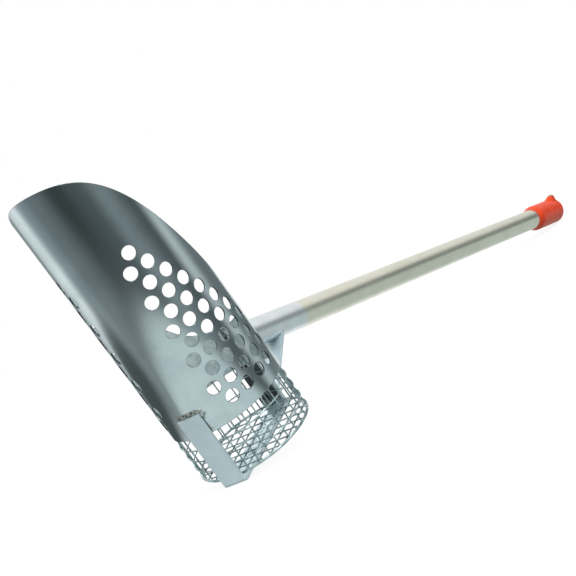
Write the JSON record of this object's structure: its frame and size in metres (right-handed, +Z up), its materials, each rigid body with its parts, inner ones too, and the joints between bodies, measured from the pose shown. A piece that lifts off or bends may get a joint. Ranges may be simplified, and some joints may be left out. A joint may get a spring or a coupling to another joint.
{
  "type": "long-handled beach sand scoop",
  "caption": "Long-handled sand scoop: a perforated half-open steel shell with a wire mesh basket behind it, a flat strap and brace, and a tube handle with a soft end grip.",
  "frame": {"origin": "centre of the bottom of the tool's box, standing on the strap's heel and the grip", "axes": "+X towards the grip end, +Z up, Y across the tool; the plane of symmetry is Y = 0"},
  "size_m": [1.221, 0.127, 0.322],
  "materials": {
    "shell_steel": "bright rolled stainless sheet",
    "mesh_wire": "bright wire",
    "weld_bead": "dull heat-darkened weld",
    "bar_steel": "satin stainless flat bar",
    "socket_steel": "satin stainless tube",
    "tube_aluminium": "satin drawn tube",
    "grip_vinyl": "soft matte vinyl"
  },
  "bodies": {
    "root": {"shell": "shell_steel", "shell_seam_weld": "weld_bead", "basket_stringers": "mesh_wire", "basket_hoops": "mesh_wire", "basket_end_ring": "mesh_wire", "basket_end_uprights": "mesh_wire", "basket_end_crosswires": "mesh_wire", "basket_tack_welds": "weld_bead", "strap": "bar_steel", "strap_front_weld": "weld_bead", "strap_side_welds": "weld_bead", "strap_top_weld": "weld_bead", "brace": "bar_steel", "brace_foot_weld": "weld_bead", "brace_head_weld": "weld_bead", "handle_socket": "socket_steel", "socket_weld": "weld_bead", "handle_spigot": "socket_steel", "handle_tube": "tube_aluminium", "end_grip": "grip_vinyl"}
  },
  "joints": []
}
